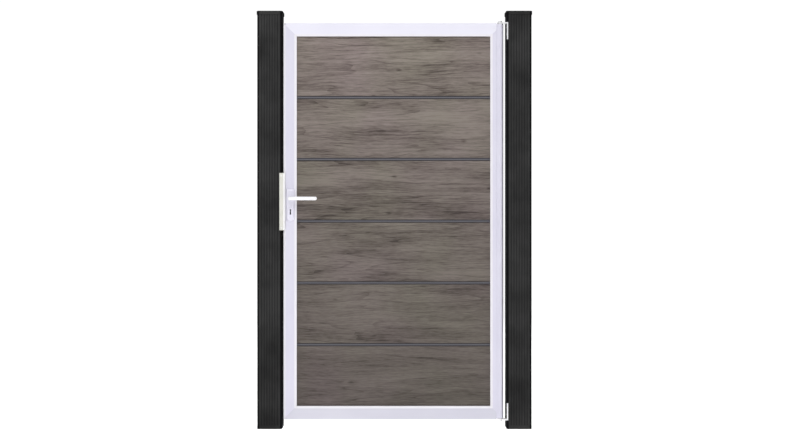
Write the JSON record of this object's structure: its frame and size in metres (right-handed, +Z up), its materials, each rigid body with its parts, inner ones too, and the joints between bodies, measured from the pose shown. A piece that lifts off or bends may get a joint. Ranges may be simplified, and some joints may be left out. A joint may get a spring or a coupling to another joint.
{
  "type": "garden gate",
  "caption": "Single-leaf garden gate with horizontal oak-look boards in an aluminium frame, hung between two dark composite posts, with a lever handle and strike plate.",
  "frame": {"origin": "centre of the hinge post's underside", "axes": "+Z up along the post; +X along the fence, away from the latch post; +Y towards the side the leaf opens to"},
  "size_m": [1.253, 0.1625, 1.9],
  "materials": {
    "post_composite": "extruded wood-plastic composite, anthracite, fine vertical ribs",
    "frame_aluminium": "extruded, silver anodised, satin",
    "board_oak": "composite board with a grey-brown oak decor",
    "handle_aluminium": "pressed, silver anodised",
    "lever_white": "white powder coat, satin",
    "strike_enamel": "cream powder coat",
    "bracket_steel": "satin stainless steel",
    "lock_steel": "brushed stainless steel",
    "bush_nylon": "moulded nylon"
  },
  "bodies": {
    "posts": {"hinge_post": "post_composite", "hinge_post_cap": "post_composite", "hinge_post_foot": "post_composite", "latch_post": "post_composite", "latch_post_cap": "post_composite", "latch_post_foot": "post_composite", "strike_plate": "strike_enamel", "top_hinge_bracket": "bracket_steel", "bottom_hinge_bracket": "bracket_steel", "top_hinge_pin": "bracket_steel", "bottom_hinge_pin": "bracket_steel"},
    "leaf": {"latch_stile": "frame_aluminium", "hinge_stile": "frame_aluminium", "top_rail": "frame_aluminium", "bottom_rail": "frame_aluminium", "board_1": "board_oak", "board_2": "board_oak", "board_3": "board_oak", "board_4": "board_oak", "board_5": "board_oak", "board_6": "board_oak", "top_hinge_bush": "bush_nylon", "bottom_hinge_bush": "bush_nylon", "lock_forend": "lock_steel", "lock_case": "lock_steel", "front_backplate": "handle_aluminium", "back_backplate": "handle_aluminium"},
    "handle": {"front_lever": "lever_white", "back_lever": "lever_white", "spindle": "lock_steel"}
  },
  "joints": [
    {"name": "gate_hinge", "type": "hinge", "parent": "posts", "child": "leaf", "pos_m": [-0.086, -0.034, 0.944], "axis": [0, 0, -1], "range_deg": [0, 90]},
    {"name": "handle_turn", "type": "hinge", "parent": "leaf", "child": "handle", "pos_m": [-1.039, -0.032, 1.048], "axis": [0, 1, 0], "range_deg": [0, 40], "stiffness_Nm_per_rad": 0.8, "springref_deg": -85.94}
  ]
}
